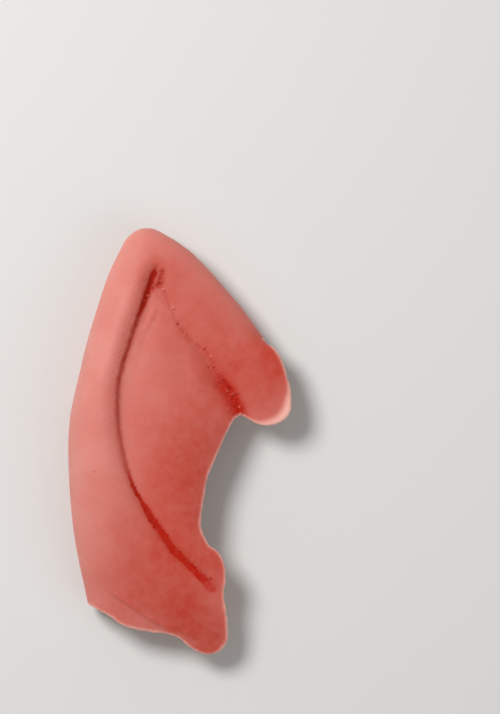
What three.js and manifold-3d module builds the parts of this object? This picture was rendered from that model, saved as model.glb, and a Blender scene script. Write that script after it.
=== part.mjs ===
// A slip-on pointed ear tip, cast in latex as one thin hollow shell, lying on its back.
// Millimetres. +Z is up, towards the outer side of the ear. +Y runs to the point, and +X to the front of
// the ear.
import * as THREE from 'three';
import { mergeVertices } from 'three/addons/utils/BufferGeometryUtils.js';
import Module from 'manifold-3d';

const wasm = await Module();
wasm.setup();

// Driving sizes
const EAR_LENGTH = 88; // point to lowest edge
const EAR_WIDTH = 46; // back of the rim to the front of the lobe
const RIM_HEIGHT = 15; // top of the rolled rim above the surface that the ear lies on
const TIP_LIFT = 3; // how far the back rises off that surface at the point
const WALL = 1.6; // latex away from the trimmed edges
const EDGE_WALL = 0.8; // latex at the trimmed edges, where it is brushed out thin
const EDGE_TAPER = 7; // distance over which the wall thins towards a trimmed edge
const TIP_FILL = 4.5; // solid latex between the point and the hollow
const TIP_ROUND = 3; // how far below the point its rounding ends
const TIP_LIFT_END = 0.3; // share of the length, from the point, over which the back rises
const CREASE_WIDTH = 0.5; // floor of the crease beside the rolled rim
const UNDER_ROLL = 4; // width of the rounding between the rim's side and the flat back
const BOTTOM_SPARE = 6; // how far the untrimmed sections run below the lowest edge
const CUT_SPARE = 10; // how far the cutting outlines stand clear of the shell
const BACK_CUT_HEIGHT = 4; // how high the opening in the back reaches up the front side and the heel

// Fineness of the mesh
const SKIN_RINGS = 84;
const HOLLOW_RINGS = 54;
const OUTLINE_STEPS = 150;
const BACK_CUT_STEPS = 60;
const SLIVER = 0.05; // edges shorter than this, left where cuts meet, are closed up

// Where the ear's lines run in the plan, from the point down. at is a share of EAR_LENGTH, and the rest are
// shares of EAR_WIDTH from the back of the rim: the rim's side, the crease beside the rolled rim, the
// crease beside the front fold, and the front side. Below the front lobe the front side only carries the
// sections on past the trimmed edge.
const PLAN = [
  { at: 0.0, left: 0.278, crease: 0.352, front_crease: 0.36, right: 0.425 },
  { at: 0.02, left: 0.264, crease: 0.366, front_crease: 0.376, right: 0.455 },
  { at: 0.056, left: 0.23, crease: 0.378, front_crease: 0.392, right: 0.548 },
  { at: 0.098, left: 0.19, crease: 0.376, front_crease: 0.405, right: 0.63 },
  { at: 0.145, left: 0.157, crease: 0.36, front_crease: 0.424, right: 0.708 },
  { at: 0.192, left: 0.128, crease: 0.33, front_crease: 0.474, right: 0.785 },
  { at: 0.239, left: 0.1, crease: 0.298, front_crease: 0.533, right: 0.85 },
  { at: 0.268, left: 0.084, crease: 0.279, front_crease: 0.571, right: 0.9 },
  { at: 0.3, left: 0.068, crease: 0.26, front_crease: 0.612, right: 1.03 },
  { at: 0.333, left: 0.054, crease: 0.243, front_crease: 0.653, right: 1.11 },
  { at: 0.38, left: 0.032, crease: 0.229, front_crease: 0.709, right: 1.16 },
  { at: 0.439, left: 0.009, crease: 0.228, front_crease: 0.773, right: 1.2 },
  { at: 0.498, left: 0.0, crease: 0.238, front_crease: 0.765, right: 1.2 },
  { at: 0.568, left: 0.001, crease: 0.268, front_crease: 0.725, right: 1.18 },
  { at: 0.639, left: 0.009, crease: 0.324, front_crease: 0.7, right: 1.15 },
  { at: 0.71, left: 0.023, crease: 0.405, front_crease: 0.71, right: 1.12 },
  { at: 0.78, left: 0.046, crease: 0.52, front_crease: 0.8, right: 1.08 },
  { at: 0.85, left: 0.075, crease: 0.682, front_crease: 0.88, right: 1.06 },
  { at: 0.92, left: 0.1, crease: 0.79, front_crease: 0.93, right: 1.05 },
  { at: 1.0, left: 0.13, crease: 0.86, front_crease: 0.96, right: 1.04 },
  { at: 1.08, left: 0.16, crease: 0.9, front_crease: 0.975, right: 1.03 },
];

// The heights of the same lines, as shares of RIM_HEIGHT: the side at its widest, the top of the rolled
// rim, the floor of its crease, the middle of the inner face, the floor of the front crease and the top of
// the front fold.
const HEIGHTS = [
  { at: 0.0, side: 0.38, rim: 0.68, pit: 0.68, face: 0.68, front_pit: 0.68, fold: 0.68 },
  { at: 0.035, side: 0.38, rim: 0.755, pit: 0.755, face: 0.755, front_pit: 0.755, fold: 0.755 },
  { at: 0.065, side: 0.38, rim: 0.8, pit: 0.797, face: 0.797, front_pit: 0.797, fold: 0.797 },
  { at: 0.09, side: 0.38, rim: 0.828, pit: 0.775, face: 0.785, front_pit: 0.79, fold: 0.803 },
  { at: 0.115, side: 0.38, rim: 0.853, pit: 0.712, face: 0.75, front_pit: 0.765, fold: 0.797 },
  { at: 0.15, side: 0.38, rim: 0.882, pit: 0.683, face: 0.737, front_pit: 0.742, fold: 0.782 },
  { at: 0.192, side: 0.37, rim: 0.912, pit: 0.712, face: 0.768, front_pit: 0.73, fold: 0.765 },
  { at: 0.239, side: 0.35, rim: 0.94, pit: 0.752, face: 0.806, front_pit: 0.715, fold: 0.748 },
  { at: 0.286, side: 0.32, rim: 0.965, pit: 0.785, face: 0.836, front_pit: 0.698, fold: 0.73 },
  { at: 0.333, side: 0.28, rim: 0.985, pit: 0.812, face: 0.856, front_pit: 0.68, fold: 0.71 },
  { at: 0.38, side: 0.26, rim: 0.995, pit: 0.83, face: 0.866, front_pit: 0.657, fold: 0.688 },
  { at: 0.439, side: 0.25, rim: 1.0, pit: 0.843, face: 0.872, front_pit: 0.622, fold: 0.65 },
  { at: 0.498, side: 0.25, rim: 0.995, pit: 0.847, face: 0.868, front_pit: 0.587, fold: 0.607 },
  { at: 0.568, side: 0.27, rim: 0.98, pit: 0.845, face: 0.855, front_pit: 0.558, fold: 0.57 },
  { at: 0.639, side: 0.3, rim: 0.95, pit: 0.83, face: 0.833, front_pit: 0.538, fold: 0.542 },
  { at: 0.71, side: 0.33, rim: 0.905, pit: 0.8, face: 0.8, front_pit: 0.524, fold: 0.517 },
  { at: 0.78, side: 0.34, rim: 0.85, pit: 0.756, face: 0.752, front_pit: 0.5, fold: 0.485 },
  { at: 0.85, side: 0.33, rim: 0.775, pit: 0.685, face: 0.662, front_pit: 0.47, fold: 0.45 },
  { at: 0.92, side: 0.3, rim: 0.67, pit: 0.58, face: 0.555, front_pit: 0.43, fold: 0.4 },
  { at: 1.0, side: 0.26, rim: 0.49, pit: 0.43, face: 0.41, front_pit: 0.36, fold: 0.34 },
  { at: 1.08, side: 0.24, rim: 0.4, pit: 0.36, face: 0.34, front_pit: 0.32, fold: 0.3 },
];

// Where the tops lie across the ear: crown is the rolled rim's top, as a share of the way from its side to
// the crease, and ridge is the front fold's top, as a share of the way from the front crease to the front
// side.
const TOPS = [
  { at: 0.0, crown: 1.0, ridge: 0.0 },
  { at: 0.06, crown: 0.97, ridge: 0.0 },
  { at: 0.09, crown: 0.84, ridge: 0.08 },
  { at: 0.12, crown: 0.74, ridge: 0.2 },
  { at: 0.18, crown: 0.69, ridge: 0.32 },
  { at: 0.3, crown: 0.68, ridge: 0.36 },
  { at: 0.5, crown: 0.66, ridge: 0.3 },
  { at: 0.7, crown: 0.5, ridge: 0.2 },
  { at: 0.85, crown: 0.42, ridge: 0.16 },
  { at: 1.08, crown: 0.4, ridge: 0.16 },
];

// The trimmed edge as the ear is seen from its outer side, from the end of the closed rim at the front of
// the ear, round the front lobe, up into the notch, down the arch, round the lower lobe and out past the
// heel of the rim. x is a share of EAR_WIDTH from the back of the rim, y a share of EAR_LENGTH from the
// point.
const TRIMMED_EDGE = [
  { x: 0.878, y: 0.262 },
  { x: 0.934, y: 0.289 },
  { x: 0.97, y: 0.325 },
  { x: 0.992, y: 0.362 },
  { x: 1.0, y: 0.388 },
  { x: 0.993, y: 0.422 },
  { x: 0.967, y: 0.446 },
  { x: 0.92, y: 0.461 },
  { x: 0.868, y: 0.464 },
  { x: 0.815, y: 0.454 },
  { x: 0.775, y: 0.441 },
  { x: 0.742, y: 0.452 },
  { x: 0.708, y: 0.489 },
  { x: 0.66, y: 0.542 },
  { x: 0.625, y: 0.59 },
  { x: 0.608, y: 0.645 },
  { x: 0.598, y: 0.692 },
  { x: 0.613, y: 0.722 },
  { x: 0.634, y: 0.743 },
  { x: 0.672, y: 0.757 },
  { x: 0.702, y: 0.787 },
  { x: 0.708, y: 0.822 },
  { x: 0.7, y: 0.86 },
  { x: 0.711, y: 0.895 },
  { x: 0.72, y: 0.935 },
  { x: 0.712, y: 0.972 },
  { x: 0.675, y: 0.995 },
  { x: 0.615, y: 1.0 },
  { x: 0.555, y: 0.988 },
  { x: 0.505, y: 0.966 },
  { x: 0.462, y: 0.955 },
  { x: 0.35, y: 0.947 },
  { x: 0.25, y: 0.934 },
  { x: 0.17, y: 0.907 },
  { x: 0.09, y: 0.884 },
  { x: -0.1, y: 0.83 },
];

// The edge of the back, hidden under the face: it crosses the front side where the trimmed edge begins,
// follows the rim down and meets the trimmed edge again at the heel. The same shares.
const BACK_EDGE = [
  { x: 1.1, y: 0.262 },
  { x: 0.95, y: 0.262 },
  { x: 0.86, y: 0.264 },
  { x: 0.76, y: 0.285 },
  { x: 0.66, y: 0.335 },
  { x: 0.565, y: 0.42 },
  { x: 0.5, y: 0.52 },
  { x: 0.46, y: 0.63 },
  { x: 0.43, y: 0.74 },
  { x: 0.37, y: 0.825 },
  { x: 0.26, y: 0.87 },
  { x: 0.13, y: 0.886 },
  { x: -0.1, y: 0.898 },
];

// How the steps of one section are shared out
const STEPS = { under: 4, side: 9, shoulder: 7, face: 12, rise: 5, fold: 9, back: 7 };

// How the skin falls from a top: above 1 it eases down evenly, and below 1 it stays full and drops steeply
const SHOULDER_POWER = 0.95; // from the rim into its crease
const FOLD_POWER = 0.7; // from the front fold to the front side
const FACE_POWER = 0.9; // from the middle of the inner face to its creases
const FOLD_SLOPE = 0.16; // share of the front fold's fall that is an even slope
const LATEX = { color: 0xe9978a, roughness: 0.55, metalness: 0 };

const mix = THREE.MathUtils.lerp;
const xOf = (share) => (share - 0.5) * EAR_WIDTH;
const yOf = (share) => (0.5 - share) * EAR_LENGTH;

// The value of one column of a table at a share of the length: a cubic through its rows.
function column(table, name, at) {
  const last = table.length - 1;
  const above = table.findLastIndex((row) => row.at <= at);
  const i = THREE.MathUtils.clamp(above, 0, last - 1);
  const slope = (k) => {
    const a = table[Math.max(k - 1, 0)];
    const b = table[Math.min(k + 1, last)];
    return (b[name] - a[name]) / (b.at - a.at);
  };
  const [p, q] = [table[i], table[i + 1]];
  const span = q.at - p.at;
  const t = (at - p.at) / span;
  const [t2, t3] = [t * t, t * t * t];
  const between = (2 * t3 - 3 * t2 + 1) * p[name] + (3 * t2 - 2 * t3) * q[name];
  return between + span * ((t3 - 2 * t2 + t) * slope(i) + (t3 - t2) * slope(i + 1));
}

// An edge's points as a smooth open curve in the plan.
function edgeCurve(edge) {
  const points = edge.map(({ x, y }) => new THREE.Vector3(xOf(x), yOf(y), 0));
  return new THREE.CatmullRomCurve3(points, false, 'centripetal');
}

const trimmedEdge = edgeCurve(TRIMMED_EDGE).getSpacedPoints(OUTLINE_STEPS);
const backEdge = edgeCurve(BACK_EDGE).getSpacedPoints(BACK_CUT_STEPS);

// The wall near an edge: thin at the edge and full where the taper ends.
function wallNear(edge, x, y) {
  const here = new THREE.Vector3(x, y, 0);
  const foot = new THREE.Vector3();
  let nearest = EDGE_TAPER;
  for (let k = 1; k < edge.length; k += 1) {
    new THREE.Line3(edge[k - 1], edge[k]).closestPointToPoint(here, true, foot);
    nearest = Math.min(nearest, here.distanceTo(foot));
  }
  return mix(EDGE_WALL, WALL, THREE.MathUtils.smoothstep(nearest, 0, EDGE_TAPER));
}

// How far the back is off the surface that the ear lies on.
const liftAt = (at) => TIP_LIFT * (1 - THREE.MathUtils.smoothstep(at, 0, TIP_LIFT_END));

// The height of the ear's widest line.
const sideHeight = (at) => column(HEIGHTS, 'side', at) * RIM_HEIGHT + liftAt(at) / 2;

// One section of the ear's skin as a closed ring of [x, z]: up the rim, over the face and back along the
// flat.
function skinRing(y) {
  const at = 0.5 - y / EAR_LENGTH;
  const across = (name) => xOf(column(PLAN, name, at));
  const high = (name) => column(HEIGHTS, name, at) * RIM_HEIGHT;
  const top = (name) => column(TOPS, name, at);
  const [back, side] = [liftAt(at), sideHeight(at)];

  const [left, right, crease] = [across('left'), across('right'), across('crease')];
  const pinch = Math.min(CREASE_WIDTH / 2, (right - left) / 20);
  const front = Math.max(across('front_crease'), crease + 2.2 * pinch);
  const [rim, pit, face, frontPit, fold] = ['rim', 'pit', 'face', 'front_pit', 'fold'].map(high);
  const crown = mix(left, crease - pinch, top('crown'));
  const ridge = mix(front + pinch, right, top('ridge'));
  const under = Math.min(UNDER_ROLL, (right - left) / 3);

  const ring = [];
  const arc = (count, point) => {
    for (let k = 0; k < count; k += 1) {
      ring.push(point((k / count) * (Math.PI / 2)));
    }
  };
  const { sin, cos } = Math;
  // Up the rim's side, over its top and down into the crease
  arc(STEPS.under, (a) => [left + under * (1 - sin(a)), back + (side - back) * (1 - cos(a))]);
  arc(STEPS.side, (a) => [crown - (crown - left) * cos(a), side + (rim - side) * sin(a)]);
  arc(STEPS.shoulder, (a) => [
    crown + (crease - pinch - crown) * sin(a) ** SHOULDER_POWER,
    pit + (rim - pit) * cos(a) ** SHOULDER_POWER,
  ]);
  ring.push([crease - pinch, pit]);
  // Across the inner face, which bulges between its two creases
  const bulge = face - (pit + frontPit) / 2;
  for (let k = 0; k < STEPS.face; k += 1) {
    const t = k / STEPS.face;
    const crowned = bulge * (4 * t * (1 - t)) ** FACE_POWER;
    ring.push([mix(crease + pinch, front - pinch, t), mix(pit, frontPit, t) + crowned]);
  }
  ring.push([front - pinch, frontPit]);
  // Up to the front fold's ridge and down to the front side
  arc(STEPS.rise, (a) => [mix(front + pinch, ridge, 1 - cos(a)), mix(frontPit, fold, sin(a))]);
  arc(STEPS.fold, (a) => {
    const out = sin(a) ** FOLD_POWER;
    const fall = cos(a) ** FOLD_POWER * (1 - FOLD_SLOPE * out);
    return [mix(ridge, right, out), mix(side, fold, fall)];
  });
  // Round under the fold and back along the flat
  arc(STEPS.under, (a) => [right - under * (1 - cos(a)), side - (side - back) * sin(a)]);
  for (let k = 0; k < STEPS.back; k += 1) {
    ring.push([mix(right - under, left + under, k / STEPS.back), back]);
  }
  return ring;
}

// A section's ring moved in by the wall, which is thinner towards the trimmed edges.
function hollowRing(y) {
  const ring = skinRing(y);
  const side = sideHeight(0.5 - y / EAR_LENGTH);
  return ring.map(([x, z], k) => {
    const before = ring.at(k - 1);
    const after = ring[(k + 1) % ring.length];
    const along = new THREE.Vector2(after[0] - before[0], after[1] - before[1]).normalize();
    const wall = wallNear(z > side ? trimmedEdge : backEdge, x, y);
    return [x + along.y * wall, z - along.x * wall];
  });
}

// A ring at its place in space, drawn in towards its middle where the body closes like the end of an egg.
function closing(ring, y, top) {
  const depth = Math.min((top - y) / TIP_ROUND, 1);
  const round = Math.sqrt(1 - (1 - depth) ** 2);
  const xs = ring.map(([x]) => x);
  const zs = ring.map(([, z]) => z);
  const middle = (values) => (Math.min(...values) + Math.max(...values)) / 2;
  const [midX, midZ] = [middle(xs), middle(zs)];
  return ring.map(([x, z]) => new THREE.Vector3(mix(midX, x, round), y, mix(midZ, z, round)));
}

// The heights at which sections are taken, closer together near the point.
function sectionHeights(top, bottom, count) {
  const span = top - bottom;
  return Array.from({ length: count }, (_, k) => {
    const t = (k + 1) / count;
    return top - span * (0.8 * t + 0.2 * t ** 3) * (1 - 0.6 * (1 - t) ** 4);
  });
}

// A closed body lofted through sections from its point down to its lowest section.
function loft(top, bottom, count, ringAt) {
  const rings = sectionHeights(top, bottom, count).map(ringAt);
  const size = rings[0].length;
  const points = rings.flat();
  const middle = (ring) => ring.reduce((sum, p) => sum.add(p), new THREE.Vector3()).divideScalar(size);
  const apex = points.push(middle(rings[0]).setY(top)) - 1;
  const foot = points.push(middle(rings[rings.length - 1])) - 1;
  const faces = [];
  for (let k = 0; k < size; k += 1) {
    const next = (k + 1) % size;
    faces.push(apex, k, next);
    for (let r = 0; r < rings.length - 1; r += 1) {
      const [a, b, c, d] = [r * size + k, r * size + next, (r + 1) * size + next, (r + 1) * size + k];
      faces.push(a, c, b, a, d, c);
    }
    faces.push(foot, (rings.length - 1) * size + next, (rings.length - 1) * size + k);
  }
  return solid(new THREE.BufferGeometry().setFromPoints(points).setIndex(faces));
}

// A manifold solid from its corners' places and its triangles.
function manifold(places, triangles) {
  const vertProperties = new Float32Array(places);
  const triVerts = new Uint32Array(triangles);
  return new wasm.Manifold(new wasm.Mesh({ numProp: 3, vertProperties, triVerts }));
}

// A three.js geometry as a manifold solid.
function solid(geometry) {
  geometry.deleteAttribute('normal');
  geometry.deleteAttribute('uv');
  const merged = mergeVertices(geometry, 1e-5);
  return manifold(merged.attributes.position.array, merged.index.array);
}

// The same solid with the ends of each very short edge joined, so that no sliver is left where cuts meet.
function withoutSlivers(body) {
  const { vertProperties: places, triVerts: corners } = body.simplify(SLIVER / 4).getMesh();
  const joined = Array.from({ length: places.length / 3 }, (_, k) => k);
  const place = (k) => new THREE.Vector3().fromArray(places, 3 * k);
  const kept = (k) => {
    let end = k;
    while (joined[end] !== end) {
      end = joined[end];
    }
    return end;
  };
  for (let t = 0; t < corners.length; t += 1) {
    const a = kept(corners[t]);
    const b = kept(corners[t % 3 === 2 ? t - 2 : t + 1]);
    if (place(a).distanceTo(place(b)) < SLIVER) {
      joined[b] = a;
    }
  }
  const left = [];
  for (let t = 0; t < corners.length; t += 3) {
    const [a, b, c] = [kept(corners[t]), kept(corners[t + 1]), kept(corners[t + 2])];
    if (a !== b && b !== c && c !== a) {
      left.push(a, b, c);
    }
  }
  return manifold(places, left);
}

// A manifold solid as a three.js geometry.
function geometryOf(body) {
  const mesh = body.getMesh();
  const geometry = new THREE.BufferGeometry();
  geometry.setAttribute('position', new THREE.BufferAttribute(mesh.vertProperties, 3));
  geometry.setIndex(new THREE.BufferAttribute(mesh.triVerts, 1));
  geometry.computeVertexNormals();
  return geometry;
}

// An outline in the plan as an upright prism from under the ear to a height.
function prism(corners, height) {
  const shape = new THREE.Shape(corners.map((p) => new THREE.Vector2(p.x, p.y)));
  const geometry = new THREE.ExtrudeGeometry(shape, { depth: height + CUT_SPARE, bevelEnabled: false });
  return solid(geometry.translate(0, 0, -CUT_SPARE));
}

const cutLeft = -EAR_WIDTH / 2 - CUT_SPARE;
const cutRight = EAR_WIDTH / 2 + CUT_SPARE;

// Everything on the ear's side of the trimmed edge, with room round the closed rim.
function keptPrism() {
  const top = EAR_LENGTH / 2 + CUT_SPARE;
  const corners = [
    ...trimmedEdge,
    new THREE.Vector3(cutLeft, trimmedEdge.at(-1).y, 0),
    new THREE.Vector3(cutLeft, top, 0),
    new THREE.Vector3(cutRight, top, 0),
    new THREE.Vector3(cutRight, trimmedEdge[0].y, 0),
  ];
  return prism(corners, RIM_HEIGHT + CUT_SPARE);
}

// Everything low down inside the back's edge, where the wearer's own ear goes in.
function openBackPrism() {
  const bottom = -EAR_LENGTH / 2 - CUT_SPARE;
  const corners = [
    ...backEdge,
    new THREE.Vector3(cutLeft, backEdge.at(-1).y, 0),
    new THREE.Vector3(cutLeft, bottom, 0),
    new THREE.Vector3(cutRight, bottom, 0),
    new THREE.Vector3(cutRight, backEdge[0].y, 0),
  ];
  return prism(corners, BACK_CUT_HEIGHT);
}

// The whole shell, its box centred over the origin.
function earShell() {
  const point = EAR_LENGTH / 2;
  const bottom = -point - BOTTOM_SPARE;
  const hollowTop = point - TIP_FILL;
  const skin = loft(point, bottom, SKIN_RINGS, (y) => closing(skinRing(y), y, point));
  const hollow = loft(hollowTop, bottom - WALL, HOLLOW_RINGS, (y) => closing(hollowRing(y), y, hollowTop));
  const shell = withoutSlivers(skin.subtract(hollow).intersect(keptPrism()).subtract(openBackPrism()));
  const { min, max } = shell.boundingBox();
  return shell.translate([-(min[0] + max[0]) / 2, -(min[1] + max[1]) / 2, -min[2]]);
}

const latex = new THREE.MeshStandardMaterial(LATEX);
const shell = new THREE.Mesh(geometryOf(earShell()), latex);
shell.name = 'ear_shell';

const earTip = new THREE.Group();
earTip.add(shell);

export default earTip;
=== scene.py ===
"""The elf ear tip's looks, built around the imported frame.

Metres, in the frame's axes: +Z is up, towards the outer side of the ear, +Y runs to the point and +X to the
front of the ear. What a comment gives in millimetres is multiplied by MM where it is used."""
import random

import bmesh
import bpy
import numpy as np
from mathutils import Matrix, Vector, noise
from mathutils.bvhtree import BVHTree
from mathutils.kdtree import KDTree


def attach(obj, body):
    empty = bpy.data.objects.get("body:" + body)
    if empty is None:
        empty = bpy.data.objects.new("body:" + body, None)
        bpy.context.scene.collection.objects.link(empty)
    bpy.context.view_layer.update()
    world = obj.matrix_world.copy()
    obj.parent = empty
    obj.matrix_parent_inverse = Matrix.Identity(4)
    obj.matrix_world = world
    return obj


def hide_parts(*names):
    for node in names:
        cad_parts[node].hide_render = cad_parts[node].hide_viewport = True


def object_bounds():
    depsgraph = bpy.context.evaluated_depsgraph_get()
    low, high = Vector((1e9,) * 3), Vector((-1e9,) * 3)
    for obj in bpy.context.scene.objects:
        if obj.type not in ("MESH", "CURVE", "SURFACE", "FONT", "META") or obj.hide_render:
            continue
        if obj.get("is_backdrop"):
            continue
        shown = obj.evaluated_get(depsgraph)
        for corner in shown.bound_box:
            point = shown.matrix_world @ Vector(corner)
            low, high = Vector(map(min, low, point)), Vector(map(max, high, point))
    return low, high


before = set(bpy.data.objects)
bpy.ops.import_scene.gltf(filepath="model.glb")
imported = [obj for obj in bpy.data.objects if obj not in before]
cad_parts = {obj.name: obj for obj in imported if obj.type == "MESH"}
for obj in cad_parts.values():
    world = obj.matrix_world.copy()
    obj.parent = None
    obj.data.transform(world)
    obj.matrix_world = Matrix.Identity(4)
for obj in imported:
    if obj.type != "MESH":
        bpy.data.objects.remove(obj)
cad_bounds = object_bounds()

MM = 0.001

# The photograph, whose pixels give the places of everything seen in it
PHOTO_WIDTH = 500
PHOTO_HEIGHT = 714
EAR_MIDDLE = (179.75, 440.75)
EAR_PIXELS = 425.5  # from the ear's point to its lowest edge
EAR_LENGTH = 88 * MM
PIXEL = EAR_LENGTH / EAR_PIXELS

# The CAD shell
WELD = 1e-7
UPRIGHT = 0.01  # a face that was cut upright has less of its normal pointing up
LEVEL = 0.999  # and one that was cut level has more
TRIM_TOP = 25 * MM  # the trimmed edges all lie lower than this in the plan, away from the point
BACK_CUT = (2 * MM, 5 * MM)  # the opening in the back ends level, between these heights

# The skin's mesh
VOXEL = 0.47 * MM  # spacing of the base mesh
SMOOTH_ROUNDS = 36
COARSE_BAND = 1.4 * MM  # faces this near a crease or the lip are divided once
FINE_BAND = 0.8 * MM  # and faces this near a crease once more
SEEN = 0.15  # both only where a face's normal points up by more than this
FULLY_UP = 0.3  # relief and paint are full where a point's normal points up by more than this
HOLLOW_ROUNDS = 8  # rounds that soften the border between the painted skin and the bare hollow

# The trimmed edges
EDGE_BAND = 0.7 * MM  # faces this near a trimmed edge are divided once
SETTLE_FULL = 0.8 * MM  # this near one the mesh is laid right back on the CAD shell
SETTLE_BAND = 2.2 * MM  # and less and less up to here
EDGE_ROUNDS = 12  # rounds of plain smoothing there
SETTLE_ROUNDS = 4  # and of smoothing that doesn't shrink
KINK_WIDTH = 2.2  # in millimetres, how far the front kink is rounded
KINK_ROUNDS = 30
SCISSOR_WAVER = 0.16 * MM  # the scissors' small unevenness

# The rim's crease, eased. Its foot is the lowest line along it.
EASE_FULL = 0.4  # share of the band over which its shoulders are eased in full
EASE_BAND = 3.6 * MM  # how far from it they are eased at all
EASE_ROUNDS = 24
EASE_END = (0.6, 0.75)  # shares of its length between which the easing fades out
FOOT_SHIFT = 0.25 * MM  # how far its foot is brought across
FOOT_REACH = 2.4 * MM  # how wide the skin is that comes with it
FOOT_START = 0.05  # share of its length over which the shift sets in
FOOT_WIDTH = 3  # in millimetres, how far from the foot the skin is evened out once more
FOOT_ROUNDS = 6

# The crease beside the rolled rim, from near the point down to the end of its painted band
RIM_CREASE = [
    (157.5, 258), (156, 267), (154.3, 274), (151.5, 282), (148.3, 292), (144.2, 303.3), (139.2, 317),
    (134, 332), (129.5, 345.5), (123.3, 365), (119.4, 382), (118.2, 402), (119, 422), (121.7, 442),
    (126, 462), (132.3, 481.7), (136.7, 490.8), (143.3, 501.7), (151.7, 516.7), (163.3, 533.3),
    (171.7, 546.7), (183.3, 558.3), (195, 570), (206.7, 581.7), (212.5, 587.5),
]
# The faint crease beside the front fold, down to the notch
FRONT_CREASE = [
    (158, 283), (163.3, 291), (170, 305.8), (173, 311), (178.3, 324), (185, 333.5), (191.7, 340.3),
    (199, 346), (205, 350), (210.5, 358), (214, 367.5), (220, 377), (226.7, 385.5), (231.7, 393.3),
    (236.7, 403.3), (241.5, 416),
]
# A short branch of pits above the place where the two creases meet
BRANCH = [(162.7, 271.5), (161.5, 277.5), (160.5, 282.5), (157.5, 286.5), (153, 289)]
# On the inner face: a soft turn where it falls away to the front, and a small fold where the creases meet
FACE_TURN = [(178.5, 331), (183, 345), (187, 358), (190, 372), (192, 394)]
FACE_FOLD = [(161, 303), (155, 309), (151.5, 318), (147.5, 327), (143, 336)]
# The lip that ends the lower rim, with a thin flange beyond it
LIP = [
    (106, 588), (112, 591.5), (120, 597), (130, 603.5), (141, 611), (151, 618), (162, 623.5), (176, 630),
]

# Stretches of these lines, as shares of their length: where something sets in, is full, wanes and ends
FOOT_FILLED = (0.03, 0.12, 0.55, 0.68)
CHANNEL = (0.55, 0.68, 0.97, 1.0)
DARK_LINE = (0.015, 0.05, 0.6, 0.7)
DARK_HEAD = (0.01, 0.05, 0.1, 0.2)
DARK_CORE = (0.6, 0.66, 0.7, 0.9)
ROSY_SHADE = (0, 0.06, 0.1, 0.7)
TURN_PART = (0, 0.25, 0.7, 1.0)
FOLD_PART = (0, 0.3, 0.6, 1.0)
LIP_PART = (0, 0.15, 0.8, 1.0)
# And between which shares of it each of these sets in
KNOT_START = (0.66, 0.8)
KNOT_PAINT_START = (0.6, 0.8)
BAND_START = (0.57, 0.64)
BAND_WIDENS = (0.61, 0.78)
FRINGE_START = (0.62, 0.7)
TAIL_START = (0.955, 1.0)

CREASE_HEAD = (155.5, 264)  # the top of the rim's crease, with a painted shadow around it
BAND_DROP = (209, 584)  # a drop of paint near the end of the red band
FRONT_KINK = (264, 345)  # the kink in the front edge, above the front lobe
LOBE_CURL = (281, 412)  # the front lobe's edge, where it turns up
LOBE_HIGHLIGHT = (282, 413)  # and where a highlight is painted on its curled edge


def in_plan(places):
    """Places in the photograph's pixels, in metres."""
    return (np.array(places, float) - EAR_MIDDLE) * (PIXEL, -PIXEL)


def distances(plan, place):
    """How far points in the plan are from a place in the photograph, in metres."""
    return np.hypot(*(plan - in_plan([place])[0]).T)


def curve_through(places, steps=8):
    """A smooth line through places in the photograph, in metres."""
    points = in_plan(places)
    ends = np.vstack([2 * points[0] - points[1], points, 2 * points[-1] - points[-2]])
    line = []
    for a, b, c, d in zip(ends, ends[1:], ends[2:], ends[3:]):
        for t in np.arange(steps) / steps:
            bend = (2 * a - 5 * b + 4 * c - d) * t**2 + (3 * b - a - 3 * c + d) * t**3
            line.append(b + 0.5 * ((c - a) * t + bend))
    return np.array(line + [points[-1]])


def smoothstep(value, low, high):
    """0 up to low, 1 from high on, and a soft rise between them."""
    t = np.clip((value - low) / (high - low), 0, 1)
    return t * t * (3 - 2 * t)


def fade(distance, width):
    """1 on a line and 0 from a width away in millimetres, with soft ends."""
    return 1 - smoothstep(distance, 0, width * MM)


def noise_at(points, size, seed):
    """Noise between about -1 and 1, the same each run, with lumps of a size in millimetres."""
    shift = Vector((seed * 17.3, seed * 5.1, seed * 9.7))
    return np.array([noise.noise(Vector(p) / (size * MM) + shift) for p in points])


class Near:
    """For points in the plan: the distance from a line, how far along it they are from 0 to 1, and the side.

    left is the way across the line, towards the side where side is 1."""

    def __init__(self, points, places):
        line = curve_through(places)
        self.distance = np.full(len(points), np.inf)
        self.along = np.zeros(len(points))
        self.side = np.zeros(len(points))
        self.left = np.zeros((len(points), 2))
        lengths = np.linalg.norm(np.diff(line, axis=0), axis=1)
        starts = np.concatenate([[0], np.cumsum(lengths)])
        for k, (a, b) in enumerate(zip(line, line[1:])):
            way = b - a
            reach = points - a
            t = np.clip(reach @ way / (way @ way), 0, 1)
            gap = reach - t[:, None] * way
            distance = np.hypot(gap[:, 0], gap[:, 1])
            nearer = distance < self.distance
            self.distance[nearer] = distance[nearer]
            self.along[nearer] = (starts[k] + t[nearer] * lengths[k]) / starts[-1]
            self.side[nearer] = np.sign(way[0] * reach[nearer, 1] - way[1] * reach[nearer, 0])
            self.left[nearer] = np.array((-way[1], way[0])) / np.hypot(*way)

    def stretch(self, start, full, waning, end):
        """1 from full to waning along the line, and down to 0 at start and at end."""
        return smoothstep(self.along, start, full) * (1 - smoothstep(self.along, waning, end))


def places_of(mesh):
    values = np.empty(len(mesh.vertices) * 3)
    mesh.vertices.foreach_get("co", values)
    return values.reshape(-1, 3)


def set_places(mesh, values):
    mesh.vertices.foreach_set("co", values.ravel())
    mesh.update()


def normals_of(mesh):
    values = np.empty(len(mesh.vertices) * 3)
    mesh.vertex_normals.foreach_get("vector", values)
    return values.reshape(-1, 3)


def cut_by_scissors(face):
    """Whether a face of the CAD shell is part of a trimmed edge."""
    middle = face.calc_center_median()
    slope = abs(face.normal.z)
    level = slope > LEVEL and BACK_CUT[0] < middle.z < BACK_CUT[1]
    return middle.y < TRIM_TOP and (slope < UPRIGHT or level)


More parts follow.
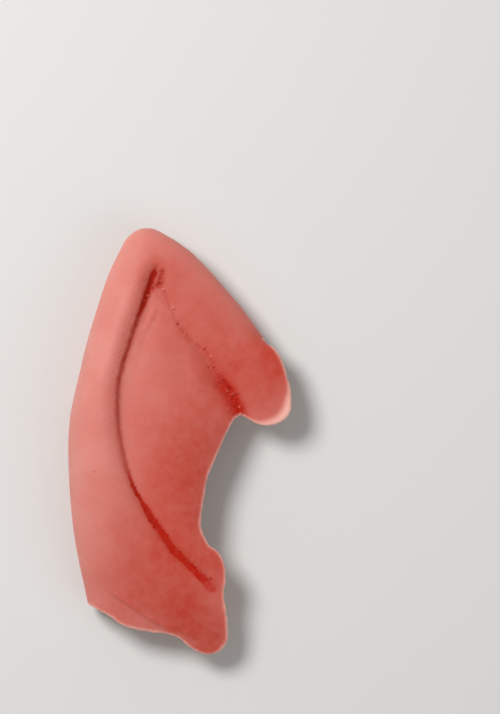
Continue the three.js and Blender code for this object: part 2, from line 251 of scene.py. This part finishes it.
class ShellReader:
    """What the CAD shell says of a point: whether it is in the hollow, and how far from a trimmed edge."""

    def __init__(self, mesh):
        work = bmesh.new()
        work.from_mesh(mesh)
        bmesh.ops.remove_doubles(work, verts=work.verts, dist=WELD)
        work.normal_update()
        work.faces.ensure_lookup_table()
        cut = [cut_by_scissors(face) for face in work.faces]
        self.inside = self.label_hollow(work, cut)
        edge_points = [v.co for face in work.faces if cut[face.index] for v in face.verts]
        edge_points += [face.calc_center_median() for face in work.faces if cut[face.index]]
        self.edges = KDTree(len(edge_points))
        for k, place in enumerate(edge_points):
            self.edges.insert(place, k)
        self.edges.balance()
        self.tree = BVHTree.FromBMesh(work)
        work.free()

    def label_hollow(self, work, cut):
        """For each face: whether it belongs to the hollow, found by walking between the cut faces."""
        part = [-1] * len(work.faces)
        heights = []
        for first in work.faces:
            if cut[first.index] or part[first.index] >= 0:
                continue
            part[first.index] = len(heights)
            waiting = [first]
            top = first.calc_center_median().z
            while waiting:
                face = waiting.pop()
                top = max(top, face.calc_center_median().z)
                for edge in face.edges:
                    for other in edge.link_faces:
                        if part[other.index] < 0 and not cut[other.index]:
                            part[other.index] = len(heights)
                            waiting.append(other)
            heights.append(top)
        skin = heights.index(max(heights))
        return [p != skin and not c for p, c in zip(part, cut)]

    def in_hollow(self, place):
        return self.inside[self.tree.find_nearest(Vector(place))[2]]

    def edge_distance(self, place):
        return self.edges.find(Vector(place))[2]

    def edge_distances(self, places):
        return np.array([self.edge_distance(place) for place in places])

    def settle(self, mesh):
        """Lays the points near the trimmed edges on the CAD shell, so that the edges run true."""
        places = places_of(mesh)
        shares = 1 - smoothstep(self.edge_distances(places), SETTLE_FULL, SETTLE_BAND)
        for k in np.flatnonzero(shares):
            on_shell = np.array(self.tree.find_nearest(Vector(places[k]))[0])
            places[k] += shares[k] * (on_shell - places[k])
        set_places(mesh, places)


def remeshed(node):
    """A copy of the CAD shell as an even mesh of small quads."""
    source = bpy.data.objects.new("shell_source", node.data.copy())
    bpy.context.scene.collection.objects.link(source)
    work = bmesh.new()
    work.from_mesh(source.data)
    bmesh.ops.remove_doubles(work, verts=work.verts, dist=WELD)
    work.to_mesh(source.data)
    work.free()
    modifier = source.modifiers.new("even", "REMESH")
    modifier.mode = "VOXEL"
    modifier.voxel_size = VOXEL
    view = bpy.context.evaluated_depsgraph_get()
    mesh = bpy.data.meshes.new_from_object(source.evaluated_get(view))
    bpy.data.objects.remove(source)
    mesh.materials.clear()
    return mesh


def averager(mesh):
    """Makes a function that gives the mean of a value over each point's neighbours."""
    ends = np.empty(len(mesh.edges) * 2, int)
    mesh.edges.foreach_get("vertices", ends)
    a, b = ends.reshape(-1, 2).T
    size = len(mesh.vertices)
    count = np.bincount(a, minlength=size) + np.bincount(b, minlength=size)

    def mean(values):
        return (np.bincount(a, values[b], size) + np.bincount(b, values[a], size)) / count

    return mean


# The factors of a round of smoothing: the plain one shrinks what it smooths, and the pair doesn't
PLAIN = (0.5,)
KEEPING = (0.5, -0.52)


def smooth(mesh, free, rounds, factors):
    """Rounds off facets where free is 1 and not where it is 0."""
    mean = averager(mesh)
    places = places_of(mesh)
    for _ in range(rounds):
        for factor in factors:
            centres = np.column_stack([mean(places[:, axis]) for axis in range(3)])
            places += factor * free[:, None] * (centres - places)
    set_places(mesh, places)


def blurred(mesh, values, rounds):
    """Spreads a value at the points softly into their surroundings."""
    mean = averager(mesh)
    for _ in range(rounds):
        values = 0.5 * (values + mean(values))
    return values


def divide(mesh, choose):
    """Divides the faces that are chosen by their normals and centres, for detail there."""
    work = bmesh.new()
    work.from_mesh(mesh)
    work.normal_update()
    faces = list(work.faces)
    normals = np.array([face.normal for face in faces])
    chosen = choose(normals, np.array([face.calc_center_median() for face in faces]))
    edges = list({e for face, wanted in zip(faces, chosen) if wanted for e in face.edges})
    bmesh.ops.subdivide_edges(work, edges=edges, cuts=1, use_grid_fill=True)
    work.to_mesh(mesh)
    work.free()


def divide_near(mesh, lines, width, shell):
    """Divides the skin's faces that lie near any of the lines."""
    def choose(normals, centres):
        distance = np.minimum.reduce([Near(centres[:, :2], line).distance for line in lines])
        close = (normals[:, 2] > SEEN) & (distance < width)
        close[close] = [not shell.in_hollow(centre) for centre in centres[close]]
        return close

    divide(mesh, choose)


def divide_edges(mesh, shell):
    """Divides the faces that lie near a trimmed edge."""
    divide(mesh, lambda normals, centres: shell.edge_distances(centres) < EDGE_BAND)


def ease_crease(mesh, shell):
    """Softens the rim's crease, brings its foot under its painted line and fills that a little."""
    points = places_of(mesh)
    rim = Near(points[:, :2], RIM_CREASE)
    skin = np.array([p[2] > 0 and not shell.in_hollow(p) for p in points])
    skin = skin * (1 - smoothstep(rim.along, *EASE_END))
    shoulders = 1 - smoothstep(rim.distance, EASE_FULL * EASE_BAND, EASE_BAND)
    smooth(mesh, skin * shoulders, EASE_ROUNDS, PLAIN)

    points = places_of(mesh)
    rim = Near(points[:, :2], RIM_CREASE)
    reach = np.exp(-((rim.distance / FOOT_REACH) ** 2))
    share = skin * smoothstep(rim.along, 0, FOOT_START) * reach
    points[:, :2] += FOOT_SHIFT * share[:, None] * rim.left
    rim = Near(points[:, :2], RIM_CREASE)
    points[:, 2] += MM * skin * foot_filling(rim)
    set_places(mesh, points)
    smooth(mesh, skin * fade(rim.distance, FOOT_WIDTH), FOOT_ROUNDS, KEEPING)


def foot_filling(rim):
    """How much the foot of the rim's crease is filled, in millimetres: most near its head, least low down.

    It is fullest just inside the face, runs out by 3 mm into it, and within 2 mm towards the rim."""
    across = rim.side * rim.distance / MM
    fuller = 0.4
    face_end = 3.2
    on_face = 1 + fuller * smoothstep(across, 0, 0.5) - (1 + fuller) * smoothstep(across, 0.8, face_end)
    rim_start = 0.15
    rim_width = 0.75
    on_rim = np.exp(-(((across + rim_start) / rim_width) ** 2))
    foot = np.where(across < -rim_start, on_rim, on_face)
    least = 0.05
    more_at_head = 0.4
    return rim.stretch(*FOOT_FILLED) * foot * (least + more_at_head * (1 - smoothstep(rim.along, 0.05, 0.6)))


# Bubbles caught in the cast: place in the photograph, and radius and rise in millimetres, which is negative
# for pits
BUBBLES = [
    ((148.4, 296.2), 0.36, 0.34), ((145.5, 301), 0.24, 0.2), ((163.4, 290), 0.36, 0.28),
    ((173, 308.5), 0.44, 0.38), ((175, 312), 0.28, 0.22), ((185.5, 335), 0.4, 0.18),
    ((195, 343), 0.3, 0.14), ((203.5, 348), 0.42, 0.16), ((210.8, 356.8), 0.46, 0.18),
    ((227.8, 390.9), 0.38, 0.36), ((232.5, 394), 0.36, 0.28), ((235.3, 392.3), 0.24, 0.16),
    ((239.3, 406.8), 0.36, 0.32),
    ((240.6, 413.6), 0.34, 0.24), ((228, 408), 0.3, 0.18), ((217.5, 416), 0.5, 0.12),
    ((221, 419.5), 0.4, 0.12), ((102, 320), 0.42, 0.14), ((140, 300), 0.3, 0.1), ((210, 388), 0.34, 0.1),
]
PITS = [
    ((210.6, 578), 0.34, -0.26), ((158.4, 274), 0.36, -0.14), ((160.8, 278.4), 0.42, -0.18),
    ((160.6, 284), 0.38, -0.15), ((155.2, 287.3), 0.44, -0.17), ((162.6, 272), 0.28, -0.1),
    ((165.7, 292.6), 0.26, -0.12), ((153, 279), 0.62, -0.12), ((151.2, 285), 0.5, -0.12),
    ((178.3, 324), 0.36, -0.24), ((205, 349.3), 0.34, -0.2), ((209, 367.2), 0.32, -0.18),
    ((213.6, 368), 0.32, -0.18), ((214.4, 362), 0.24, -0.14), ((226, 385), 0.5, -0.26),
    ((230, 388.5), 0.42, -0.22), ((223.5, 380.5), 0.36, -0.18), ((232.2, 399), 0.36, -0.2),
    ((228, 396.5), 0.32, -0.18), ((237.5, 400), 0.28, -0.16), ((131, 605), 0.34, -0.08),
    ((139, 608), 0.3, -0.08),
]
PIT_SHARE = 0.6  # share of their depth that is sunk in the skin; the rest is painted shade, dark red paint in them
FULL_PIT = 0.3  # depth in millimetres at which a pit's paint and painted shade is full
FULL_BUBBLE = 0.34  # rise in millimetres at which a bubble has the least paint and the most painted highlight
ROUNDNESS = 0.75  # power that gives a bubble its round side
# Small ones strewn along a line: line, share of it where they start and end, how many, and their spread and
# greatest rise in millimetres
STREWN = [
    (FRONT_CREASE, 0.1, 0.7, 44, 0.45, 0.09),
    (FRONT_CREASE, 0.66, 1.0, 60, 1.0, 0.13),
    (RIM_CREASE, 0.02, 0.5, 60, 0.3, 0.08),
    (RIM_CREASE, 0.62, 0.98, 60, 0.5, 0.04),
    (BRANCH, 0.0, 1.0, 22, 0.4, 0.12),
]
STREWN_RADIUS = (0.15, 0.3)
STREWN_SHARE = (0.4, 1)  # of the greatest rise
STREWN_SEED = 11


def strewn(draw):
    """The small bubbles and pits, each as the named ones but with its place in metres."""
    for places, first, last, count, spread, rise in STREWN:
        line = curve_through(places)
        for _ in range(count):
            at = draw.uniform(first, last) * (len(line) - 1.001)
            k = int(at)
            way = line[k + 1] - line[k]
            across = np.array((-way[1], way[0])) / np.linalg.norm(way)
            place = line[k] + way * (at - k) + across * draw.gauss(0, spread) * MM
            radius = draw.uniform(*STREWN_RADIUS)
            yield place, radius, draw.choice((1, -1)) * draw.uniform(*STREWN_SHARE) * rise


def named(places):
    """Bubbles or pits given in the photograph's pixels, with their places in metres."""
    return [(in_plan([place])[0], radius, rise) for place, radius, rise in places]


def domes(plan, bubbles):
    """How far bubbles and pits raise each point, in metres."""
    height = np.zeros(len(plan))
    for place, radius, rise in bubbles:
        share = np.hypot(plan[:, 0] - place[0], plan[:, 1] - place[1]) / (radius * MM)
        close = share < 1
        height[close] += rise * MM * (1 - share[close] ** 2) ** ROUNDNESS
    return height


# The relief of these lines is in millimetres, and so are the widths that fade takes. wander and grain are
# coarse and fine noise at the same points, which make a line ragged.

def channel_relief(plan, wander, grain):
    """Low down, the crease beside the rim widens into a shallow channel with a rough floor."""
    rim = Near(plan, RIM_CREASE)
    ragged = np.clip(rim.distance + MM * (0.12 * wander + 0.06 * grain), 0, None)
    depth = 0.16
    roughness = 0.06
    floor = depth * fade(ragged, width=1.2) + roughness * grain * fade(rim.distance, width=1.0)
    return -rim.stretch(*CHANNEL) * floor


def front_relief(points, wander, grain):
    """The front crease: shallow and broken, with a knot of rough skin where it meets the notch."""
    front = Near(points[:, :2], FRONT_CREASE)
    ragged = np.clip(front.distance + MM * (0.22 * wander + 0.1 * grain), 0, None)
    least = 0.35
    broken = least + (1 - least) * smoothstep(noise_at(points, size=2.2, seed=5), -0.15, 0.3)
    thread_depth = 0.1
    valley_depth = 0.06
    crease = thread_depth * fade(ragged, width=0.4) + valley_depth * fade(front.distance, width=1.6)
    knot = smoothstep(front.along, *KNOT_START) * fade(front.distance, width=2.4)
    branch_depth = 0.12
    branch = fade(Near(points[:, :2], BRANCH).distance + MM * 0.1 * wander, width=0.6)
    return knot * (0.12 * wander + 0.08 * grain) - broken * crease - branch_depth * branch


def face_relief(plan):
    """The inner face's turn, which stands out on its front side, and the fold, a ridge in a hollow."""
    turn = Near(plan, FACE_TURN)
    turn_rise = 0.55
    turn_width = 1.5 * MM
    reach = turn.distance / turn_width
    bend = turn.stretch(*TURN_PART) * turn_rise * turn.side * reach * np.exp(-reach)
    fold = Near(plan, FACE_FOLD)
    ridge = 0.3
    hollow = 0.12
    crinkle = ridge * fade(fold.distance, width=1.0) - hollow * fade(fold.distance, width=2.6)
    return bend + fold.stretch(*FOLD_PART) * crinkle


def beyond_lip(lip, reach):
    """1 on the flange beyond the lip, from close to the lip, and down to 0 at a reach in millimetres."""
    return (lip.side < 0) * smoothstep(lip.distance, 0, 0.8 * MM) * fade(lip.distance, reach)


def lip_relief(plan):
    """The lip: a thin bead, with the flange beyond it a little lower."""
    lip = Near(plan, LIP)
    bead = 0.1
    drop = 0.2
    form = bead * fade(lip.distance, width=0.6) - drop * beyond_lip(lip, 7)
    return lip.stretch(*LIP_PART) * form


def relief(points, upward, edge_distance):
    """How far each point of the skin stands out along its normal, in metres."""
    plan = points[:, :2]
    wander = noise_at(points, size=1.1, seed=1)
    grain = noise_at(points, size=0.45, seed=2)
    swell = 0.12 * noise_at(points, size=11, seed=3) + 0.06 * noise_at(points, size=4, seed=4)
    lines = channel_relief(plan, wander, grain) + front_relief(points, wander, grain)
    height = MM * (swell + lines + face_relief(plan) + lip_relief(plan))
    height += domes(plan, named(BUBBLES) + list(strewn(random.Random(STREWN_SEED))))
    height += PIT_SHARE * domes(plan, named(PITS))

    # The trimmed edge of the front lobe turns up a little
    curl_rise = 0.5
    curl = fade(distances(plan, LOBE_CURL), width=7) * fade(edge_distance, width=1.5)
    return upward * (height + MM * curl_rise * curl)


# Where the skin is redder and darker: partly its own blush, partly painted shade where the surface turns
# from the light. Place in the photograph, radius in millimetres and strength
BLUSHES_AND_SHADES = [
    ((271.7, 360), 3.6, 0.85), ((264, 346), 2.4, 0.4), ((279, 374), 2.6, 0.5), ((248, 352), 7, 0.4),
    ((268, 386), 8, 0.6), ((225, 392), 6, 0.6), ((206, 350), 7, 0.35), ((162, 325), 7, 0.25),
    ((165, 272), 5, 0.3), ((192, 618), 6, 0.65), ((200, 632), 10, 0.65), ((212, 648), 5, 0.45),
    ((160, 600), 12, 0.5), ((118, 607), 3, 0.3), ((200, 540), 12, 0.62), ((190, 480), 12, 0.58),
    ((205, 440), 10, 0.58), ((175, 400), 11, 0.3), ((160, 345), 8, 0.25), ((170, 500), 11, 0.35),
    ((130, 590), 9, 0.2), ((165, 565), 8, 0.38), ((218, 560), 5, 0.4), ((185, 300), 8, 0.35),
    ((215, 320), 9, 0.35), ((140, 430), 6, 0.2), ((150, 270), 6, 0.3), ((120, 545), 9, 0.25),
    ((228, 345), 8, 0.3),
]


class Brush:
    """The noise that makes the edges of the paint ragged."""

    def __init__(self, points):
        self.wander = noise_at(points, size=1.3, seed=21)
        self.grain = noise_at(points, size=0.5, seed=22)
        self.streak = noise_at(points, size=2.0, seed=23)

    def ragged(self, near, coarse, fine):
        """The distance from a line, less even by so many millimetres."""
        return near.distance + MM * (coarse * self.wander + fine * self.grain)


def crease_paint(rim, brush):
    """The crease beside the rim: the dark line in it, red paint that is also painted shade where the crease
    was filled, darkest at its head; and painted shade, rosy, about it, wider towards the rim.
    """
    ragged = brush.ragged(rim, 0.16, 0.18)
    on_rim = rim.side < 0
    line = rim.stretch(*DARK_LINE)
    head = rim.stretch(*DARK_HEAD)
    core = rim.stretch(*DARK_CORE) * fade(ragged, width=0.7)
    # The dark line is red paint and also painted shade of the crease that the filling took away, most at its
    # head
    strength = 0.55 - 0.15 * smoothstep(rim.along, 0.3, 0.45) + 0.35 * head
    dark = line * strength * fade(ragged, width=0.75) + 0.8 * head * fade(ragged, width=1.2)
    dark += (0.5 + 0.5 * brush.grain) * core
    # Painted shade over the crease's flank, rosy, wider on the rim's side
    painted_shade = rim.stretch(*ROSY_SHADE) * fade(rim.distance, np.where(on_rim, 3.6, 1.4))
    lower = smoothstep(rim.along, 0.25, 0.5)
    # And painted shade, red-brown, close along the dark line
    inner_shade = line * (1 - 0.4 * lower) * fade(ragged, np.where(on_rim, 1.7, 0.9))
    return dark, painted_shade, inner_shade


def band_paint(rim, brush):
    """The bright red band that the crease ends in. It widens, with a torn edge, a fringe and a worn tail."""
    ragged = brush.ragged(rim, 0.16, 0.18)
    narrow = 0.22
    widening = 0.62
    half_width = (narrow + widening * smoothstep(rim.along, *BAND_WIDENS)) * MM
    torn = ragged + MM * (0.1 * brush.wander + 0.12 * brush.grain)
    body = 1 - smoothstep(torn, half_width * 0.65, half_width * 1.2)
    band = smoothstep(rim.along, *BAND_START) * body
    worn = 0.35 * smoothstep(rim.along + 0.012 * brush.wander, *TAIL_START)
    fringe = 0.5 * smoothstep(rim.along, *FRINGE_START) * fade(ragged, half_width / MM * 1.9)
    return np.maximum(band * (1 - worn), fringe)


def front_paint(plan, brush):
    """The front crease's thin thread, the red knot at the notch with its glow, and the branch of pits."""
    front = Near(plan, FRONT_CREASE)
    on_fold = front.side > 0
    ragged = brush.ragged(front, 0.3, 0.2)
    thread = (0.2 + 0.35 * smoothstep(brush.streak, -0.1, 0.4)) * fade(ragged, width=0.7)
    knot = smoothstep(front.along, *KNOT_PAINT_START)
    heart = knot * fade(ragged, width=1.3) * (0.7 + 0.9 * brush.grain)
    glow = knot * fade(ragged, np.where(on_fold, 2.2, 3.8))
    torn = Near(plan, BRANCH).distance + 0.3 * MM * brush.wander
    branch = fade(torn, width=1.2) * (0.8 + 0.4 * brush.grain)
    return thread, heart, glow, branch


def blush_and_shade_at(points, wander):
    """Where the skin blushes and where shade is painted into it as redder, darker skin, a little less on the
    flange beyond the lip, and unevenly.
    """
    plan = points[:, :2]
    bare = np.ones(len(points))
    for place, radius, strength in BLUSHES_AND_SHADES:
        bare *= 1 - strength * np.exp(-((distances(plan, place) / (radius * MM)) ** 2))
    flange = 0.25 * beyond_lip(Near(plan, LIP), 9)
    uneven = 1 + 0.12 * noise_at(points, size=5, seed=24) + 0.06 * wander
    return (1 - bare) * (1 - flange) * uneven


def pale_edge_and_highlight(points, edge_distance):
    """The trimmed edge: pale where the cut latex is bare, with a painted light outline along it, most of all
    the painted highlight at the front lobe's curled edge.
    """
    lobe = fade(distances(points[:, :2], LOBE_HIGHLIGHT), width=8)
    width = 0.85 + 0.25 * noise_at(points, size=3, seed=25) + 1.4 * lobe
    return fade(edge_distance, width) * (0.85 + 0.15 * lobe)


def store(mesh, name, values):
    """Keeps a value for each point, which the material reads by name."""
    attribute = mesh.attributes.new(name, "FLOAT", "POINT")
    attribute.data.foreach_set("value", np.clip(values, 0, 1).astype(np.float32))


def paint(mesh, points, upward, hollow, edge_distance):
    """Keeps where the red paint lies, with the painted shade of the crease and the pits, where the skin
    blushes or has shade painted in, where the edge is pale or has a painted highlight, and where the hollow
    is unpainted.
    """
    plan = points[:, :2]
    brush = Brush(points)
    rim = Near(plan, RIM_CREASE)
    dark, painted_shade, inner_shade = crease_paint(rim, brush)
    thread, heart, glow, branch = front_paint(plan, brush)
    # A painted shadow around the top of the rim's crease
    start = 0.4 * fade(distances(plan, CREASE_HEAD), width=2.4)
    drop = 0.8 * fade(distances(plan, BAND_DROP) + 0.25 * MM * brush.wander, width=2.0)
    # Pits are painted dark red, which is also painted shade for the depth they are not given
    pit_paint_and_shade = np.clip(-domes(plan, named(PITS)) / (FULL_PIT * MM), 0, 1)
    bubbles = np.clip(domes(plan, named(BUBBLES)) / (FULL_BUBBLE * MM), 0, 1)
    clear = upward * (1 - 0.65 * bubbles)

    store(mesh, "deep_paint_and_shade", clear * np.maximum.reduce([dark, 0.9 * branch, 0.6 * heart, 0.9 * pit_paint_and_shade]))
    store(mesh, "band_paint", clear * np.maximum.reduce([band_paint(rim, brush), glow, drop]))
    store(mesh, "thin_paint_and_shade", upward * np.maximum.reduce([thread, 0.55 * painted_shade, 0.75 * inner_shade, start]))
    store(mesh, "blush_and_shade", upward * blush_and_shade_at(points, brush.wander))
    edge = pale_edge_and_highlight(points, edge_distance)
    # The pale edge with its painted highlight, and a painted highlight on the bubbles' tops
    store(mesh, "pale_and_highlight", (1 - hollow) * np.maximum(edge, 0.1 * upward * bubbles))
    store(mesh, "hollow", hollow)


def shaped(node, shell):
    """The CAD shell as a fine mesh, with an eased crease, true edges, and small faces for detail."""
    mesh = remeshed(node)
    smooth(mesh, np.ones(len(mesh.vertices)), SMOOTH_ROUNDS, KEEPING)
    ease_crease(mesh, shell)
    divide_edges(mesh, shell)
    shell.settle(mesh)
    near_edge = fade(shell.edge_distances(places_of(mesh)), SETTLE_BAND / MM)
    smooth(mesh, near_edge, EDGE_ROUNDS, PLAIN)
    smooth(mesh, near_edge, SETTLE_ROUNDS, KEEPING)
    smooth(mesh, fade(distances(places_of(mesh)[:, :2], FRONT_KINK), KINK_WIDTH), KINK_ROUNDS, PLAIN)
    creases = [RIM_CREASE, FRONT_CREASE, BRANCH]
    divide_near(mesh, creases + [LIP], COARSE_BAND, shell)
    divide_near(mesh, creases, FINE_BAND, shell)
    return mesh


def ear_skin(node):
    """The visible shell, with its relief and its paint."""
    shell = ShellReader(node.data)
    mesh = shaped(node, shell)
    points = places_of(mesh)
    normals = normals_of(mesh)
    hollow = blurred(mesh, np.array([float(shell.in_hollow(p)) for p in points]), HOLLOW_ROUNDS)
    edge_distance = shell.edge_distances(points)
    upward = smoothstep(normals[:, 2], 0.0, FULLY_UP) * (1 - hollow)
    moved = points + normals * relief(points, upward, edge_distance)[:, None]
    waver = SCISSOR_WAVER * fade(edge_distance, width=2.2)
    moved[:, 0] += waver * noise_at(points, size=3, seed=31)
    moved[:, 1] += waver * noise_at(points, size=3, seed=32)
    moved[:, 2] = np.maximum(moved[:, 2], 0)
    set_places(mesh, moved)
    paint(mesh, points, upward, hollow, edge_distance)
    mesh.shade_smooth()

    piece = bpy.data.objects.new("latex_ear", mesh)
    bpy.context.scene.collection.objects.link(piece)
    return piece


class Nodes:
    """A short way to wire a material."""

    def __init__(self, name):
        self.material = bpy.data.materials.new(name)
        self.material.use_nodes = True
        self.tree = self.material.node_tree
        self.shader = self.tree.nodes["Principled BSDF"]

    def set(self, name, value):
        """Sets one of the shader's own sockets."""
        self.shader.inputs[name].default_value = value

    def add(self, kind, **settings):
        node = self.tree.nodes.new(kind)
        for name, value in settings.items():
            setattr(node, name, value)
        return node

    def link(self, source, target):
        self.tree.links.new(source, target)

    def read(self, name):
        """A value that was kept for each point."""
        return self.add("ShaderNodeAttribute", attribute_name=name).outputs["Fac"]

    @property
    def places(self):
        if not hasattr(self, "_places"):
            self._places = self.add("ShaderNodeTexCoord").outputs["Object"]
        return self._places

    def noise(self, scale, detail, rough=0.55):
        """Noise from 0 to 1, with so many lumps to the metre."""
        node = self.add("ShaderNodeTexNoise")
        node.inputs["Scale"].default_value = scale
        node.inputs["Detail"].default_value = detail
        node.inputs["Roughness"].default_value = rough
        self.link(self.places, node.inputs["Vector"])
        return node.outputs["Fac"]

    def math(self, operation, a, b):
        """Works on two values, of which the second may be a number."""
        node = self.add("ShaderNodeMath", operation=operation)
        self.link(a, node.inputs[0])
        if isinstance(b, float):
            node.inputs[1].default_value = b
        else:
            self.link(b, node.inputs[1])
        return node.outputs[0]

    def spread(self, value, low, high, to_low=0.0, to_high=1.0):
        """Stretches a value from one range to another, kept within the new one."""
        node = self.add("ShaderNodeMapRange", interpolation_type="SMOOTHSTEP")
        for socket, number in zip(list(node.inputs)[1:5], (low, high, to_low, to_high)):
            socket.default_value = number
        self.link(value, node.inputs["Value"])
        return node.outputs["Result"]

    def mix(self, amount, a, b):
        """A colour between two, each a linear RGB or a socket."""
        node = self.add("ShaderNodeMix", data_type="RGBA")
        sockets = [s for s in node.inputs if s.type == "RGBA"]
        for socket, value in zip(sockets, (a, b)):
            if isinstance(value, tuple):
                socket.default_value = (*value, 1)
            else:
                self.link(value, socket)
        self.link(amount, node.inputs["Factor"])
        return [s for s in node.outputs if s.type == "RGBA"][0]


# Linear colours
SKIN = (0.7, 0.24, 0.2)
SKIN_PALE = (0.73, 0.285, 0.24)
# the skin's own blush, also used as its painted shade
SKIN_BLUSH_AND_SHADE = (0.55, 0.055, 0.03)
# deep red paint, also used as painted shade in the crease and in the pits
DEEP_PAINT_AND_SHADE = (0.38, 0.01, 0.001)
PAINT_BAND = (0.5, 0.01, 0.0)
# red-brown, for the thin paint and for the shade painted beside the crease
PAINT_THIN_AND_SHADE = (0.5, 0.045, 0.018)
# pale bare latex of the cut edge, also used as painted highlight
PALE_EDGE_AND_HIGHLIGHT = (0.93, 0.54, 0.46)
HOLLOW_LATEX = (0.72, 0.36, 0.27)
SHEEN_TINT = (1, 0.8, 0.75)
FLOOR_GREY = (0.72, 0.71, 0.69)

# How many lumps there are to the metre in the material's noises
TONES = 70
BRUSHING = 420
SPECKLES = 1500
WEAR = 900
GLOSS = 260
SKIN_GRAIN = 1100
SKIN_RIPPLE = 320


def latex_colour(nodes):
    """Skin of two tones, blushed with shade painted in and speckled, then the three paints, which hold
    painted shade in the crease and pits, the pale edge with painted highlights, and the bare hollow.
    """
    tones = nodes.spread(nodes.noise(TONES, 3), 0.35, 0.65)
    brushing = nodes.spread(nodes.noise(BRUSHING, 5, 0.6), 0.3, 0.7)
    colour = nodes.mix(tones, SKIN, SKIN_PALE)
    # Blush, partly the skin's own and partly painted shade
    blush_and_shade = nodes.math("MULTIPLY", nodes.read("blush_and_shade"), nodes.spread(brushing, 0, 1, 0.92, 1.06))
    colour = nodes.mix(blush_and_shade, colour, SKIN_BLUSH_AND_SHADE)
    speckle = nodes.spread(nodes.noise(SPECKLES, 2), 0.62, 0.75, 0, 0.25)
    colour = nodes.mix(speckle, colour, SKIN_BLUSH_AND_SHADE)

    patchy = nodes.spread(nodes.noise(WEAR, 4, 0.7), 0.3, 0.6, 0.55, 1.0)
    colour = nodes.mix(nodes.math("MULTIPLY", nodes.read("thin_paint_and_shade"), patchy), colour, PAINT_THIN_AND_SHADE)
    worn = nodes.spread(patchy, 0.55, 1.0, 0.8, 1.0)
    colour = nodes.mix(nodes.math("MULTIPLY", nodes.read("band_paint"), worn), colour, PAINT_BAND)
    colour = nodes.mix(nodes.read("deep_paint_and_shade"), colour, DEEP_PAINT_AND_SHADE)
    colour = nodes.mix(nodes.read("pale_and_highlight"), colour, PALE_EDGE_AND_HIGHLIGHT)
    return nodes.mix(nodes.read("hollow"), colour, HOLLOW_LATEX)


def latex():
    """Slip latex rubbed with paint: satin, slightly see-through, with a fine brushed surface."""
    nodes = Nodes("painted_latex")
    nodes.link(latex_colour(nodes), nodes.shader.inputs["Base Color"])
    roughness = nodes.spread(nodes.noise(GLOSS, 4), 0.3, 0.7, 0.48, 0.62)
    nodes.link(roughness, nodes.shader.inputs["Roughness"])
    nodes.set("Specular IOR Level", 0.14)
    nodes.set("Sheen Weight", 0.04)
    nodes.set("Sheen Roughness", 0.4)
    nodes.set("Sheen Tint", (*SHEEN_TINT, 1))
    nodes.set("Subsurface Weight", 0.6)
    nodes.set("Subsurface Radius", (1.0, 0.35, 0.2))
    nodes.set("Subsurface Scale", 1.1 * MM)

    ripple = nodes.math("MULTIPLY", nodes.noise(SKIN_RIPPLE, 3), 1.6)
    bump = nodes.add("ShaderNodeBump")
    bump.inputs["Strength"].default_value = 0.3
    bump.inputs["Distance"].default_value = 0.12 * MM
    nodes.link(nodes.math("ADD", nodes.noise(SKIN_GRAIN, 4, 0.6), ripple), bump.inputs["Height"])
    nodes.link(bump.outputs["Normal"], nodes.shader.inputs["Normal"])
    return nodes.material


def pale_paper():
    """The floor's plain material."""
    nodes = Nodes("pale_floor")
    nodes.set("Base Color", (*FLOOR_GREY, 1))
    nodes.set("Roughness", 0.8)
    return nodes.material


CAMERA_HEIGHT = 2.4
SENSOR = 36.0
CLIP_END = 10


def camera():
    """Straight above, so that the ear fills the same part of the frame as in the photograph."""
    data = bpy.data.cameras.new("camera")
    data.sensor_width = SENSOR
    data.lens = SENSOR * CAMERA_HEIGHT / (PHOTO_HEIGHT * PIXEL)
    data.clip_end = CLIP_END
    item = bpy.data.objects.new("camera", data)
    item.location = (*in_plan([(PHOTO_WIDTH / 2, PHOTO_HEIGHT / 2)])[0], CAMERA_HEIGHT)
    bpy.context.scene.collection.objects.link(item)
    bpy.context.scene.camera = item


def area_light(name, place, size, watts):
    """A round soft light that shines on the ear."""
    data = bpy.data.lights.new(name, "AREA")
    data.shape = "DISK"
    data.size = size
    data.energy = watts
    item = bpy.data.objects.new(name, data)
    item.location = place
    item.rotation_euler = Vector(place).to_track_quat("Z", "Y").to_euler()
    bpy.context.scene.collection.objects.link(item)


FLOOR_REACH = 1.5
FLOOR_GAP = 0.02 * MM  # the floor lies this much below the ear's back
SURROUND_STRENGTH = 0.3


def studio():
    """A pale floor, a soft key from the left and above, a weak fill from the right, and a pale surround."""
    mesh = bpy.data.meshes.new("floor")
    signs = [(-1, -1), (1, -1), (1, 1), (-1, 1)]
    mesh.from_pydata([(x * FLOOR_REACH, y * FLOOR_REACH, 0) for x, y in signs], [], [(0, 1, 2, 3)])
    mesh.materials.append(pale_paper())
    floor = bpy.data.objects.new("floor", mesh)
    floor.location.z = -FLOOR_GAP
    bpy.context.scene.collection.objects.link(floor)
    floor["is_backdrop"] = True
    area_light("key", place=(-0.28, 0.27, 0.54), size=0.26, watts=3.5)
    area_light("fill", place=(0.5, -0.3, 0.5), size=0.6, watts=0.9)
    world = bpy.data.worlds.new("surround")
    world.use_nodes = True
    background = world.node_tree.nodes["Background"]
    background.inputs["Color"].default_value = (1, 1, 1, 1)
    background.inputs["Strength"].default_value = SURROUND_STRENGTH
    bpy.context.scene.world = world
    bpy.context.scene.view_settings.view_transform = "Standard"


camera()
studio()
ear = ear_skin(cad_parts["ear_shell"])
ear.data.materials.append(latex())
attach(ear, "root")
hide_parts("ear_shell")

boxes = {"cad": cad_bounds, "visual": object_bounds()}
{name: [list(corner) for corner in box] for name, box in boxes.items()}
